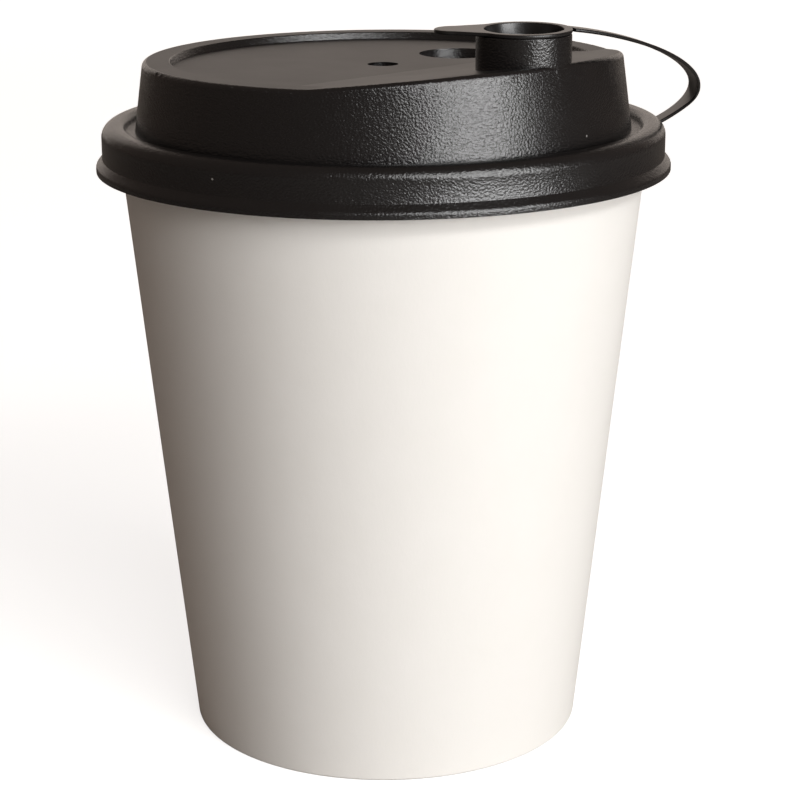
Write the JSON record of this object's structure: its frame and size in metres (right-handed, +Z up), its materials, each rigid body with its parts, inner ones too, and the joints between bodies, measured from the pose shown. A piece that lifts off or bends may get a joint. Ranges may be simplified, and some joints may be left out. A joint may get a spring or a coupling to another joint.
{
  "type": "paper coffee cup with lid",
  "caption": "Single-wall paper coffee cup with a moulded drinking lid, whose spout is closed by a hollow stopper on a strap.",
  "frame": {"origin": "centre of the cup's base ring, on the surface it stands on", "axes": "+Z up along the cup's axis, +X through the drinking spout"},
  "size_m": [0.0838, 0.0838, 0.1073],
  "materials": {
    "cup_paper": "smooth uncoated white board outside, thin coating inside",
    "base_paper": "smooth white board",
    "lid_plastic": "black moulded plastic, fine grained walls and a plain satin top",
    "stopper_plastic": "black moulded plastic, satin",
    "strap_plastic": "black moulded plastic, satin"
  },
  "bodies": {
    "cup": {"cup_sidewall": "cup_paper", "cup_bottom": "base_paper"},
    "lid": {"lid": "lid_plastic", "stopper_strap": "strap_plastic"},
    "stopper": {"stopper": "stopper_plastic"}
  },
  "joints": [
    {"name": "lid_lift", "type": "slide", "parent": "cup", "child": "lid", "axis": [0, 0, 1], "range_m": [0, 0.025]},
    {"name": "stopper_pull", "type": "slide", "parent": "lid", "child": "stopper", "axis": [0, 0, 1], "range_m": [0, 0.008], "deforming": ["stopper_strap"]}
  ]
}
